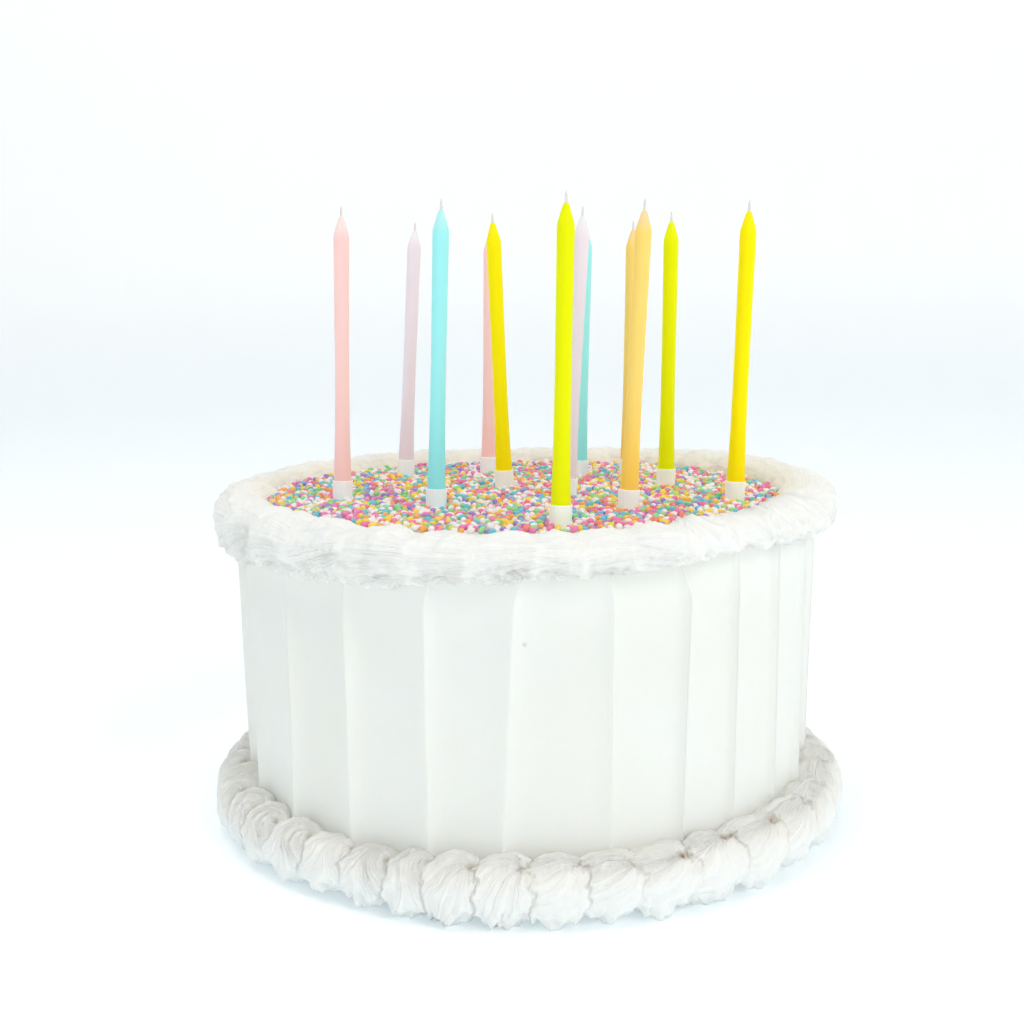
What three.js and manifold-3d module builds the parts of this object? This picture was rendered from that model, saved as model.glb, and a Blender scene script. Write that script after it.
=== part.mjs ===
// A round birthday cake: a tall uncut cake under white icing, combed into upright flutes round
// its side, with a piped shell border round the top edge, another round the foot, sprinkles on
// the top, and twelve slim candles that stand in small plastic cups.
//
// Millimetres, +Z up. The origin is the centre of the flat base. A "turn" is an angle in degrees
// round the cake, counted from its front (-Y) towards its right side (+X).

import * as THREE from "three";
import { mergeVertices } from "three/addons/utils/BufferGeometryUtils.js";
import Module from "manifold-3d";

// ---- Driving dimensions -----------------------------------------------------------------------

const GAP = 0.3; // clearance between two separate pieces that touch

// The iced cake.
const CAKE_TOP = 102; // height of the flat top
const SIDE_RADIUS_TOP = 92; // to the crests of the ridges, at the top
const SIDE_RADIUS_FOOT = 90.3; // the same, at the base

// The flutes: each panel drops off its left-hand ridge and curls out to the next one.
const FLUTE_DEPTH = 2.2;
const FLUTE_DROP = 0.05; // share of a panel's width in which the icing drops off the ridge
const FLUTE_CURL = 2.5; // power of the slow curve back out to the next ridge
const FLUTE_COLUMNS = [0, 0.08, 0.25, 0.55, 0.82]; // where a panel's wall has its edges
const FRONT_RIDGES = [
  // [turn at the top, turn at the foot]: the comb was drawn by hand, so few are upright
  [-65, -64],
  [-47, -48.5],
  [-32.5, -33],
  [-17, -17.5],
  [-1.5, -5],
  [14.5, 14],
  [29, 27.5],
  [39.5, 39.5],
  [51, 53],
];
const BACK_PANELS = 16; // these fill the rest of the way round
const RIDGE_WANDER = 1.1; // degrees that a ridge at the back may stray
const RIDGE_SEED = 11;

// The two piped borders: ropes of ridged icing, squeezed fat and let go thin into shells. Each
// shell has a thick round head, and its thinner tail is tucked under the next shell's head.
// Piping runs in the direction of growing turns, and no border is even all the way round.
const TOP_BORDER = {
  ringRadius: 88.5,
  ringHeight: 98.4, // of the ring's middle line, at the front
  sideLift: 0, // how much higher that line lies at the two sides
  backLift: 1.6, // and how much higher at the back
  out: 8.2, // half-width of a shell, across the ring
  up: 7.2, // half-height
  leftSwell: 0.08, // share by which a shell at the left is thicker, and one at the right thinner
  onTop: true, // it wraps over the cake's top edge
  frontTurns: [
    -90, -79, -68, -57, -46, -36, -23, -14.5, -2.5, 5.2, 12.9, 21, 30, 39.5, 48, 58, 68.5, 79, 90,
  ],
  backShells: 16,
  // [turn, share]: it sags down the wall at the left, and hardly hangs at all at the front right
  hang: [
    [-110, 1.1],
    [-68, 1.4],
    [-36, 1.18],
    [-8, 0.92],
    [12, 0.78],
    [40, 0.62],
    [60, 1],
  ],
  seed: 12,
};
const FOOT_BORDER = {
  ringRadius: 92.5,
  ringHeight: 8.2,
  sideLift: 1.6,
  backLift: 0,
  out: 8.4,
  up: 9.6,
  leftSwell: 0,
  onTop: false, // it lies on the ground, against the wall
  frontTurns: [
    -53.5, -44.5, -35.5, -26.5, -19, -12, -3.8, 4.7, 13, 22, 31.5, 41.5, 52, 62, 72.5, 83,
  ],
  backShells: 28,
  hang: [[0, 1]],
  seed: 13,
};
const SHELL_STATIONS = [
  // Where along the pitch each section lies, how thick it is, and how far its middle drops, all
  // as shares. The shell's own turn is at 0. Its head ends in a steep edge over the tail before.
  { along: -0.5, girth: 0.62, drop: 0.03 },
  { along: -0.4, girth: 0.9, drop: 0 },
  { along: -0.15, girth: 1, drop: -0.02 },
  { along: 0.16, girth: 0.93, drop: -0.01 },
  { along: 0.4, girth: 0.7, drop: 0.01 },
];
const SHELL_RIDGES = 4; // ridges that show across a section
const SHELL_RIDGE_HEIGHT = 0.11; // a ridge's height over its furrows, as a share of the section
const SHELL_UNEVENNESS = 0.04; // the share by which shells differ in size
const SHELL_PITCH_SHARE = 0.3; // how much of a shell's extra length also goes into its thickness
const SHELL_STRAY = 0.9; // degrees by which a shell at the back strays along the ring
const WALL_MARGIN = 1; // degrees of the wall on either side that a border also keeps clear of

// Sprinkles: little sugar balls, half sunk in the icing.
const SPRINKLE_RADIUS = 1.1;
const SPRINKLE_COUNT = 76;
const SPRINKLED_RADIUS = 77;
const SPRINKLE_RISE = 0.35; // height of a ball's middle over the icing, as a share of its radius
const SPRINKLE_SEED = 14;

// The candles and their cups. A candle's own frame has its foot's centre at the origin.
const SEGMENTS = 8; // sides of every round piece of a candle
const CUP = { height: 9, foot: 3.15, brim: 3.45, bore: 2.85, floor: 1.5, sunk: 2.5 };
const WAX = { length: 85.5, foot: 2.5, waist: 2.15, shoulder: 2.4, tip: 1.1 };
const WAX_WAIST_HEIGHT = 14;
const WAX_CONE = 5.5; // height of the pointed end
const WICK = { radius: 0.45, bore: 0.75, depth: 2, shown: 3.4 };
const WICK_SEGMENTS = 6;
const LEAN_HEIGHT = 88; // the height at which a candle's lean is given
const CANDLES = [
  // where each stands, how far it leans at LEAN_HEIGHT, and how far it is raised in its cup
  { name: "pink_1", colour: 0xf8c4c4, at: [-57, -14.5], lean: [2.2, 0], raised: 2.1 },
  { name: "pink_2", colour: 0xf8c4c4, at: [-13, 49], lean: [1.9, 0.6], raised: 0 },
  { name: "lilac_1", colour: 0xe2d6e2, at: [-42.5, 43], lean: [5.4, 0.3], raised: 1.1 },
  { name: "lilac_2", colour: 0xe2d6e2, at: [13, -14], lean: [5.3, -0.5], raised: 1.5 },
  { name: "aqua_1", colour: 0xa4e6e8, at: [-26.5, -35.5], lean: [3.3, -0.3], raised: 2.3 },
  { name: "aqua_2", colour: 0xa4e6e8, at: [19, 35], lean: [2.7, 0.5], raised: 0 },
  { name: "yellow_1", colour: 0xfce000, at: [-6.5, 8], lean: [-2.8, 0.2], raised: 1.2 },
  { name: "yellow_2", colour: 0xfce000, at: [63.6, -26], lean: [3.1, -0.3], raised: 1.4 },
  { name: "lime_1", colour: 0xecf000, at: [9.5, -71], lean: [2.1, 0.2], raised: 1.2 },
  { name: "lime_2", colour: 0xecf000, at: [46.3, 7.5], lean: [1.4, 0.2], raised: 0.8 },
  { name: "peach_1", colour: 0xfdc976, at: [30, -41.5], lean: [4.6, -0.6], raised: 1.1 },
  { name: "peach_2", colour: 0xfdc976, at: [36, 36], lean: [1.9, 0.2], raised: 0 },
];

const ICING = { color: 0xf7f5ee, roughness: 0.58 };
const CUP_PLASTIC = { color: 0xece6ec, roughness: 0.35 };
const WICK_WAX = { color: 0xf4efe9, roughness: 0.8 };
const CANDLE_ROUGHNESS = 0.45;
const MERGE_DISTANCE = 1e-4; // corners nearer than this are one corner

// ---- Helpers ----------------------------------------------------------------------------------

const wasm = await Module();
wasm.setup();

const radians = THREE.MathUtils.degToRad;
const UP = new THREE.Vector3(0, 0, 1);

// A repeatable stream of numbers from -1 to 1.
function wanderer(seed) {
  const MODULUS = 2147483647;
  const MULTIPLIER = 48271;
  let state = seed;
  return () => {
    state = (state * MULTIPLIER) % MODULUS;
    return (2 * state) / MODULUS - 1;
  };
}

function outward(turn) {
  return new THREE.Vector3(Math.sin(radians(turn)), -Math.cos(radians(turn)), 0);
}

// Turns set by hand at the front, and evenly spaced ones that carry on round the back.
function fillRing(frontTurns, backCount, stray, wander) {
  const last = frontTurns.at(-1);
  const pitch = (360 + frontTurns[0] - last) / (backCount + 1);
  const backTurns = Array.from(
    { length: backCount },
    (_, i) => last + pitch * (i + 1) + stray * wander(),
  );
  return [...frontTurns, ...backTurns];
}

// Two triangles for each step along and around a row of loops of equal length. The loops run
// counter-clockwise as seen from the last one. A ring of loops also joins the last to the first.
function bandTriangles(loopCount, columnCount, isRing) {
  const at = (loop, column) => (loop % loopCount) * columnCount + (column % columnCount);
  const index = [];
  const bands = isRing ? loopCount : loopCount - 1;
  for (let loop = 0; loop < bands; loop += 1) {
    for (let column = 0; column < columnCount; column += 1) {
      index.push(at(loop, column), at(loop, column + 1), at(loop + 1, column + 1));
      index.push(at(loop, column), at(loop + 1, column + 1), at(loop + 1, column));
    }
  }
  return index;
}

function ringSkin(loops) {
  const geometry = new THREE.BufferGeometry().setFromPoints(loops.flat());
  return geometry.setIndex(bandTriangles(loops.length, loops[0].length, true));
}

// A lower and an upper loop, each closed by a fan to a point on the axis.
function prismSkin(lowLoop, highLoop) {
  const count = lowLoop.length;
  const index = bandTriangles(2, count, false);
  const [low, high] = [2 * count, 2 * count + 1];
  for (let column = 0; column < count; column += 1) {
    const next = (column + 1) % count;
    index.push(low, next, column, high, count + column, count + next);
  }
  const middles = [lowLoop, highLoop].map((loop) => new THREE.Vector3(0, 0, loop[0].z));
  const geometry = new THREE.BufferGeometry().setFromPoints([...lowLoop, ...highLoop, ...middles]);
  return geometry.setIndex(index);
}

// A turned piece about +Z, from a profile of [radius, height] that starts and ends on the axis.
function turned(profile, segments) {
  const points = profile.map(([radius, height]) => new THREE.Vector2(radius, height));
  return new THREE.LatheGeometry(points, segments).rotateX(Math.PI / 2);
}

function solidOf(geometry) {
  const bare = geometry.clone();
  bare.deleteAttribute("normal");
  bare.deleteAttribute("uv");
  const merged = mergeVertices(bare, MERGE_DISTANCE);
  const corners = merged.index.array;
  const triangles = [];
  for (let i = 0; i < corners.length; i += 3) {
    const [a, b, c] = [corners[i], corners[i + 1], corners[i + 2]];
    if (a !== b && b !== c && c !== a) triangles.push(a, b, c);
  }
  return new wasm.Manifold(
    new wasm.Mesh({
      numProp: 3,
      vertProperties: new Float32Array(merged.attributes.position.array),
      triVerts: new Uint32Array(triangles),
    }),
  );
}

function geometryOf(solid) {
  const mesh = solid.getMesh();
  const geometry = new THREE.BufferGeometry();
  geometry.setAttribute("position", new THREE.BufferAttribute(mesh.vertProperties, 3));
  geometry.setIndex(new THREE.BufferAttribute(mesh.triVerts, 1));
  return geometry;
}

function piece(name, geometry, finish) {
  const mesh = new THREE.Mesh(geometry, new THREE.MeshStandardMaterial(finish));
  mesh.name = name;
  return mesh;
}

// ---- The fluted side --------------------------------------------------------------------------

const TOP_END = 0; // a ridge's two turns, as FRONT_RIDGES lists them
const FOOT_END = 1;

function allRidges() {
  const wander = wanderer(RIDGE_SEED);
  const tops = fillRing(
    FRONT_RIDGES.map(([top]) => top),
    BACK_PANELS - 1,
    RIDGE_WANDER,
    wander,
  );
  return tops.map((top, i) => FRONT_RIDGES[i] ?? [top, top + RIDGE_WANDER * wander()]);
}

// The wall leans out a little from foot to top.
function crestRadius(height) {
  return SIDE_RADIUS_FOOT + (SIDE_RADIUS_TOP - SIDE_RADIUS_FOOT) * Math.min(1, height / CAKE_TOP);
}

// How far the wall lies inside its ridges, at a share u of the way across a panel.
function fluteDepth(u) {
  return FLUTE_DEPTH * (1 - Math.exp(-u / FLUTE_DROP)) * (1 - u ** FLUTE_CURL);
}

// The ridges' turns at one of their ends, from the first ridge once round and back to it.
function crestTurns(ridges, end) {
  return [...ridges, [ridges[0][0] + 360, ridges[0][1] + 360]].map((ridge) => ridge[end]);
}

function wallLoop(ridges, end, height) {
  const crests = crestTurns(ridges, end);
  return crests.slice(0, -1).flatMap((crest, i) =>
    FLUTE_COLUMNS.map((u) =>
      outward(crest + (crests[i + 1] - crest) * u)
        .multiplyScalar(crestRadius(height) - fluteDepth(u))
        .setZ(height),
    ),
  );
}

function flutedWall(ridges) {
  return prismSkin(wallLoop(ridges, FOOT_END, 0), wallLoop(ridges, TOP_END, CAKE_TOP));
}

// The least depth of the wall between two turns: none where a ridge stands between them.
function leastDepth(ridges, end, from, to) {
  const crests = crestTurns(ridges, end);
  const laps = Math.floor((from - crests[0]) / 360);
  const [start, stop] = [from - 360 * laps, to - 360 * laps];
  const panel = crests.findLastIndex((crest) => crest <= start);
  const [here, next] = [crests[panel], crests[panel + 1]];
  if (stop >= next) return 0;
  const depthAt = (turn) => fluteDepth((turn - here) / (next - here));
  return Math.min(depthAt(start), depthAt(stop));
}

// ---- Piped shells -----------------------------------------------------------------------------

const clampedAcos = (cosine) => Math.acos(Math.max(-1, Math.min(1, cosine)));

// Where a section's visible arc starts and ends, as angles from straight up, outwards. The top
// border runs from the flat top over to the wall, and the foot border from the wall to the ground.
function visibleArc({ ringRadius, out, up, onTop }, { girth, middle }, wallRadius) {
  const levelAngle = (height) => clampedAcos((height - middle) / (up * girth));
  const wallAngle = Math.asin((wallRadius - ringRadius) / (out * girth));
  return onTop ? [-levelAngle(CAKE_TOP + GAP), Math.PI - wallAngle] : [wallAngle, levelAngle(0)];
}

// One section of a border: furrows and ridge crests by turns, then the corner behind them.
function sectionLoop(border, station, wallRadius) {
  const { ringRadius, out, up, onTop } = border;
  const [start, stop] = visibleArc(border, station, wallRadius);
  const steps = 2 * SHELL_RIDGES;
  const place = (radius, height) => outward(station.turn).multiplyScalar(radius).setZ(height);
  const arc = Array.from({ length: steps + 1 }, (_, i) => {
    const angle = start + ((stop - start) * i) / steps;
    const girth = station.girth * (1 + SHELL_RIDGE_HEIGHT * (i % 2));
    const rise = Math.cos(angle) * (angle > Math.PI / 2 ? station.hang : 1);
    return place(ringRadius + out * girth * Math.sin(angle), station.middle + up * girth * rise);
  });
  return [...arc, place(wallRadius, onTop ? CAKE_TOP + GAP : 0)];
}

// How high a border's middle line lies, and how thick its shells are, at a turn.
function ringAt({ ringHeight, sideLift, backLift, leftSwell }, turn) {
  const side = Math.sin(radians(turn));
  const towardsBack = (1 - Math.cos(radians(turn))) / 2;
  return {
    height: ringHeight + sideLift * side ** 2 + backLift * towardsBack,
    swell: 1 - leftSwell * side,
  };
}

// How far a border hangs below its middle line at a turn, as a share of a shell's half-height.
function hangAt(knots, turn) {
  const here = THREE.MathUtils.euclideanModulo(turn + 180, 360) - 180;
  const next = knots.findIndex(([knotTurn]) => knotTurn > here);
  if (next === 0) return knots[0][1];
  if (next === -1) return knots.at(-1)[1];
  const [[fromTurn, fromHang], [toTurn, toHang]] = [knots[next - 1], knots[next]];
  return THREE.MathUtils.mapLinear(here, fromTurn, toTurn, fromHang, toHang);
}

function shellStations(border) {
  const wander = wanderer(border.seed);
  const turns = fillRing(border.frontTurns, border.backShells, SHELL_STRAY, wander);
  return turns.flatMap((turn, i) => {
    const before = i > 0 ? turns[i - 1] : turns.at(-1) - 360;
    const after = i + 1 < turns.length ? turns[i + 1] : turns[0] + 360;
    const { height, swell } = ringAt(border, turn);
    const extraLength = ((after - before) * turns.length) / 720 - 1;
    const size = swell + SHELL_UNEVENNESS * wander() + SHELL_PITCH_SHARE * extraLength;
    return SHELL_STATIONS.map(({ along, girth, drop }) => {
      const pitch = along < 0 ? turn - before : after - turn;
      const stationTurn = turn + along * pitch;
      return {
        turn: stationTurn,
        girth: girth * size,
        middle: height - border.up * drop,
        hang: hangAt(border.hang, stationTurn),
      };
    });
  });
}

function pipedBorder(border, ridges) {
  const stations = shellStations(border);
  const count = stations.length;
  const end = border.onTop ? TOP_END : FOOT_END;
  const crest = crestRadius(border.ringHeight + 2 * border.up);
  const loops = stations.map((station, i) => {
    const last = i > 0 ? stations[i - 1].turn : stations[count - 1].turn - 360;
    const next = i + 1 < count ? stations[i + 1].turn : stations[0].turn + 360;
    const depth = leastDepth(ridges, end, last - WALL_MARGIN, next + WALL_MARGIN);
    return sectionLoop(border, station, crest - depth + GAP);
  });
  return solidOf(ringSkin(loops));
}

// ---- Candles ----------------------------------------------------------------------------------

function cupProfile(clearance) {
  const { height, foot, brim } = CUP;
  return [
    [0, -clearance],
    [foot + clearance, -clearance],
    [brim + clearance, height],
  ];
}

function cupGeometry() {
  const { height, bore, floor } = CUP;
  const profile = [...cupProfile(0), [bore, height], [bore, floor], [0, floor]];
  return turned(profile, SEGMENTS);
}

// What a cup presses out of the icing.
function cupPocket() {
  return turned([...cupProfile(GAP), [0, CUP.height]], SEGMENTS);
}

function waxGeometry(foot) {
  const top = foot + WAX.length;
  return turned(
    [
      [0, foot],
      [WAX.foot, foot],
      [WAX.waist, foot + WAX_WAIST_HEIGHT],
      [WAX.shoulder, top - WAX_CONE],
      [WAX.tip, top],
      [WICK.bore, top],
      [WICK.bore, top - WICK.depth],
      [0, top - WICK.depth],
    ],
    SEGMENTS,
  );
}

function wickGeometry(waxTop) {
  const low = waxTop - WICK.depth + GAP;
  const high = waxTop + WICK.shown;
  const profile = [
    [0, low],
    [WICK.radius, low],
    [WICK.radius, high - WICK.radius],
    [0, high],
  ];
  return turned(profile, WICK_SEGMENTS);
}

function candleGroup({ name, colour, at, lean, raised }) {
  const group = new THREE.Group();
  group.position.set(at[0], at[1], CAKE_TOP - CUP.sunk);
  const axis = new THREE.Vector3(lean[0], lean[1], LEAN_HEIGHT).normalize();
  group.quaternion.setFromUnitVectors(UP, axis);
  group.updateMatrix();
  const foot = CUP.floor + GAP + raised;
  const wax = geometryOf(solidOf(waxGeometry(foot)));
  const wick = geometryOf(solidOf(wickGeometry(foot + WAX.length)));
  group.add(
    piece(`cup_${name}`, geometryOf(solidOf(cupGeometry())), CUP_PLASTIC),
    piece(`candle_${name}`, wax, { color: colour, roughness: CANDLE_ROUGHNESS }),
    piece(`wick_${name}`, wick, WICK_WAX),
  );
  return group;
}

// ---- Sprinkles --------------------------------------------------------------------------------

// A sunflower spread with a little wander, kept clear of the cups.
function sprinklePlaces(wander) {
  const GOLDEN_ANGLE = 180 * (3 - Math.sqrt(5));
  const cupRoom = CUP.brim + GAP + 2 * SPRINKLE_RADIUS;
  const places = [];
  for (let i = 0; i < SPRINKLE_COUNT; i += 1) {
    const radius = SPRINKLED_RADIUS * Math.sqrt((i + 0.5) / SPRINKLE_COUNT);
    const place = outward(i * GOLDEN_ANGLE).multiplyScalar(radius);
    place.x += SPRINKLE_RADIUS * wander();
    place.y += SPRINKLE_RADIUS * wander();
    const clear = CANDLES.every(({ at }) => Math.hypot(place.x - at[0], place.y - at[1]) > cupRoom);
    if (clear) places.push(place);
  }
  return places;
}

function sprinkles() {
  const wander = wanderer(SPRINKLE_SEED);
  return sprinklePlaces(wander).map((place) => {
    const ball = new THREE.IcosahedronGeometry(SPRINKLE_RADIUS, 0);
    ball.rotateX(Math.PI * wander()).rotateZ(Math.PI * wander());
    ball.translate(place.x, place.y, CAKE_TOP + SPRINKLE_RADIUS * SPRINKLE_RISE);
    return solidOf(ball);
  });
}

// ---- The cake ---------------------------------------------------------------------------------

const ridges = allRidges();
const candles = CANDLES.map(candleGroup);

function cakeBody() {
  let body = solidOf(flutedWall(ridges));
  for (const candle of candles) {
    body = body.subtract(solidOf(cupPocket().applyMatrix4(candle.matrix)));
  }
  for (const ball of sprinkles()) body = body.add(ball);
  return body;
}

const cake = new THREE.Group();
cake.add(
  piece("cake_body", geometryOf(cakeBody()), ICING),
  piece("top_border", geometryOf(pipedBorder(TOP_BORDER, ridges)), ICING),
  piece("foot_border", geometryOf(pipedBorder(FOOT_BORDER, ridges)), ICING),
  ...candles,
);

export default cake;
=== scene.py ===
# %% [markdown]
# # A piped birthday cake with candles
#
# This lesson dresses a tall round cake. Its sides are combed into upright flutes, one piped border
# runs round the top edge and another round the foot, the top is strewn with little sugar beads,
# and twelve slim candles stand in plastic cups. The cake arrives as a plain faceted model, the
# frame, which fixes every size and place. The cells below dress that frame piece by piece: a few
# helpers first, then the icing, the wall, the two borders, the beads, the candles and a studio.

import math
from types import SimpleNamespace

import bpy
import numpy as np
from mathutils import Matrix, Vector


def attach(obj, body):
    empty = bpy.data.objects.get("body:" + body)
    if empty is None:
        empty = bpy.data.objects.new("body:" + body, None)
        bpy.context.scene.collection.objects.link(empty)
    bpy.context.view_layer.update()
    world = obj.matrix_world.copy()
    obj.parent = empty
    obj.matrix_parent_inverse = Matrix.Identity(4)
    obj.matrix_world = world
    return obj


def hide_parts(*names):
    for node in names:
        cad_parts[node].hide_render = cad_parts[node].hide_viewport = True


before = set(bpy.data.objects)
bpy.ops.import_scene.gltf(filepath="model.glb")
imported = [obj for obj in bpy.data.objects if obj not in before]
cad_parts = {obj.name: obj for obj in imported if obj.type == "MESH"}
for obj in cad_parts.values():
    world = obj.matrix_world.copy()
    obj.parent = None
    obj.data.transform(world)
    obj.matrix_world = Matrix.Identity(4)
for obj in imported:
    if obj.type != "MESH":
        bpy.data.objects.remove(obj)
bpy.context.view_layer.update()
scene = bpy.context.scene

# %% [markdown]
# ## Where things are
#
# Blender works in metres, and a pastry cook thinks in millimetres, so sizes are written times MM.
# A "turn" is an angle in degrees round the cake, from its front towards its right side. The cake
# is not quite regular, because a hand made it. Tables further down give the turns of the flutes
# and the shells of its front, and a seeded stream of small numbers carries both on round the back.

# %% Turns, and a repeatable stream of small differences
MM = 0.001
CAKE_TOP = 102 * MM
SIDE_RADIUS_TOP = 92 * MM
SIDE_RADIUS_FOOT = 90.3 * MM


def wanderer(seed):
    """A repeatable stream of numbers from -1 to 1."""
    modulus, multiplier = 2147483647, 48271
    state = seed
    while True:
        state = state * multiplier % modulus
        yield 2 * state / modulus - 1


def fill_ring(front_turns, back_count, stray, wander):
    """Turns given at the front, and evenly spaced ones that carry on round the back."""
    last = front_turns[-1]
    pitch = (360 + front_turns[0] - last) / (back_count + 1)
    back = [last + pitch * (i + 1) + stray * next(wander) for i in range(back_count)]
    return [*front_turns, *back]


print("the cake stands", round(CAKE_TOP / MM), "mm high, without its border and candles")

# %% [markdown]
# ## Arithmetic on sockets
#
# A node tree is a set of formulas, and wiring each Math node by hand hides them. The class below
# wraps one output socket and gives it the usual operators, so that `1 - mask` adds the node that
# works it out. The same class serves materials and Geometry Nodes, because both know the Math
# node. Everything else goes through one method, `add`, which sets a node's options before its
# inputs, since the options decide which inputs it has. Nodes could be placed and wired one by
# one, but then the formula is nowhere to be read.

# %% A wire that arithmetic works on
class Wire:
    """An output socket that Python arithmetic can be done on."""

    def __init__(self, graph, socket):
        self.graph, self.socket = graph, socket

    def __add__(self, other):
        return self.graph.math("ADD", self, other)

    def __sub__(self, other):
        return self.graph.math("SUBTRACT", self, other)

    def __mul__(self, other):
        return self.graph.math("MULTIPLY", self, other)

    def __truediv__(self, other):
        return self.graph.math("DIVIDE", self, other)

    def __pow__(self, other):
        return self.graph.math("POWER", self, other)

    def __rsub__(self, other):
        return self.graph.math("SUBTRACT", other, self)

    def __neg__(self):
        return self * -1.0

    __radd__ = __add__
    __rmul__ = __mul__


print("a wire knows + - * / and **")

# %% A graph with one way to add a node
class Graph:
    """A node tree with one way to add any node."""

    def __init__(self, tree):
        self.tree = tree

    def add(self, kind, settings=None, inputs=None, output=0):
        node = self.tree.nodes.new(kind)
        for name, value in (settings or {}).items():
            setattr(node, name, value)
        for key, value in (inputs or {}).items():
            self.feed(self.find(node.inputs, key), value)
        if not any(socket.enabled for socket in node.outputs):
            return node
        return Wire(self, self.find(node.outputs, output))

    @staticmethod
    def find(sockets, key):
        usable = [socket for socket in sockets if socket.enabled]
        if isinstance(key, int):
            return usable[key]
        return next(socket for socket in usable if socket.name == key)

    def feed(self, socket, value):
        if isinstance(value, Wire):
            self.tree.links.new(value.socket, socket)
        else:
            socket.default_value = value

    def math(self, operation, *values):
        return self.add("ShaderNodeMath", {"operation": operation}, dict(enumerate(values)))

    def mix(self, factor, first, second):
        """A colour between two colours."""
        inputs = {"Factor": factor, "A": first, "B": second}
        return self.add("ShaderNodeMix", {"data_type": "RGBA", "clamp_factor": True}, inputs)

    def ease(self, value, low, high):
        """0 below low, 1 above high, and a smooth step between them."""
        inputs = {"Value": value, "From Min": low, "From Max": high}
        return self.add("ShaderNodeMapRange", {"interpolation_type": "SMOOTHSTEP"}, inputs)

    def noise(self, vector, scale, detail=2.0):
        """Cloudy noise round 0, from about -1 to 1."""
        inputs = {"Vector": vector, "Scale": scale, "Detail": detail}
        return self.add("ShaderNodeTexNoise", {}, inputs) * 2.0 - 1.0

    def vector(self, x, y, z):
        return self.add("ShaderNodeCombineXYZ", {}, {"X": x, "Y": y, "Z": z})

    def vectors(self, operation, first, second):
        return self.add("ShaderNodeVectorMath", {"operation": operation}, {0: first, 1: second})


print("a graph adds any node in one call")

# %% [markdown]
# ## Growing a mesh with Geometry Nodes
#
# Shells, sugar beads and flutes follow rules, so node trees make them: a rule is easier to retune
# than a thousand faces. A base mesh carries the numbers that differ from place to place. The
# function grow builds a tree with named inputs, runs it on that mesh, and keeps the evaluated
# result as a plain mesh. Nothing live is left, so the piece can be exported and measured like any
# other.

# %% Plain meshes that carry numbers
def mesh_of(name, points, faces, **numbers):
    """A mesh from points and faces, with named numbers or vectors stored on its points."""
    mesh = bpy.data.meshes.new(name)
    mesh.from_pydata([tuple(point) for point in points], [], faces)
    for label, values in numbers.items():
        values = np.asarray(values, np.float32)
        kind, field = ("FLOAT_VECTOR", "vector") if values.ndim == 2 else ("FLOAT", "value")
        mesh.attributes.new(label, kind, "POINT").data.foreach_set(field, values.ravel())
    mesh.polygons.foreach_set("use_smooth", [True] * len(mesh.polygons))
    return mesh


def link(obj):
    scene.collection.objects.link(obj)
    return obj


def triangles(mesh):
    return sum(len(polygon.vertices) - 2 for polygon in mesh.polygons)


print("a mesh carries named numbers on its points")

# %% Running a node tree once
SOCKET_KINDS = {
    int: "NodeSocketInt",
    float: "NodeSocketFloat",
    bpy.types.Material: "NodeSocketMaterial",
    bpy.types.Object: "NodeSocketObject",
}


def grow(name, base_mesh, given, rule):
    """Runs the tree that rule(graph, geometry, given wires) makes, and keeps its result."""
    tree = bpy.data.node_groups.new(f"{name}_rule", "GeometryNodeTree")
    shape_kind = "NodeSocketGeometry"
    tree.interface.new_socket("Geometry", in_out="INPUT", socket_type=shape_kind)
    tree.interface.new_socket("Geometry", in_out="OUTPUT", socket_type=shape_kind)
    identifiers = {}
    for label, value in given.items():
        kind = next(kind for cls, kind in SOCKET_KINDS.items() if isinstance(value, cls))
        socket = tree.interface.new_socket(label, in_out="INPUT", socket_type=kind)
        identifiers[label] = socket.identifier
    graph = Graph(tree)
    group_in = tree.nodes.new("NodeGroupInput")
    wires = {label: Wire(graph, group_in.outputs[label]) for label in given}
    shape = rule(graph, Wire(graph, group_in.outputs["Geometry"]), wires)
    graph.add("NodeGroupOutput", {}, {"Geometry": shape})
    maker = link(bpy.data.objects.new(f"{name}_maker", base_mesh))
    modifier = maker.modifiers.new("rule", "NODES")
    modifier.node_group = tree
    for label, value in given.items():
        modifier[identifiers[label]] = value
    evaluated = maker.evaluated_get(bpy.context.evaluated_depsgraph_get())
    mesh = bpy.data.meshes.new_from_object(evaluated)
    maker.modifiers.remove(modifier)
    bpy.data.objects.remove(maker)
    mesh.name = name
    print(f"{name}: {triangles(mesh)} triangles")
    return link(bpy.data.objects.new(name, mesh))


print("trees are run once and leave plain meshes")

# %% Steps that the trees share
def stored(graph, label, kind="FLOAT"):
    """A number or a vector that the base mesh carries."""
    return graph.add("GeometryNodeInputNamedAttribute", {"data_type": kind}, {"Name": label})


def noted(graph, shape, label, value, kind="FLOAT"):
    """The shape with a number or a vector stored on its points, for its material to read."""
    inputs = {"Geometry": shape, "Name": label, "Value": value}
    return graph.add("GeometryNodeStoreNamedAttribute", {"data_type": kind}, inputs)


def moved(graph, shape, **place):
    """The shape with its points at a new Position, or moved by an Offset."""
    inputs = {"Geometry": shape, **{key.title(): value for key, value in place.items()}}
    return graph.add("GeometryNodeSetPosition", {}, inputs)


def finished(graph, shape, material):
    """Realized, smooth and dressed, which is how every tree here ends."""
    real = graph.add("GeometryNodeRealizeInstances", {}, {"Geometry": shape})
    smooth = graph.add("GeometryNodeSetShadeSmooth", {}, {"Geometry": real})
    return graph.add("GeometryNodeSetMaterial", {}, {"Geometry": smooth, "Material": material})


def stands_for(piece, slot, *nodes):
    """The piece rides on the cake and stands for frame nodes; slot is not used."""
    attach(piece, "root")
    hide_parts(*nodes)


print("every tree ends realized, smooth and dressed")

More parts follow.
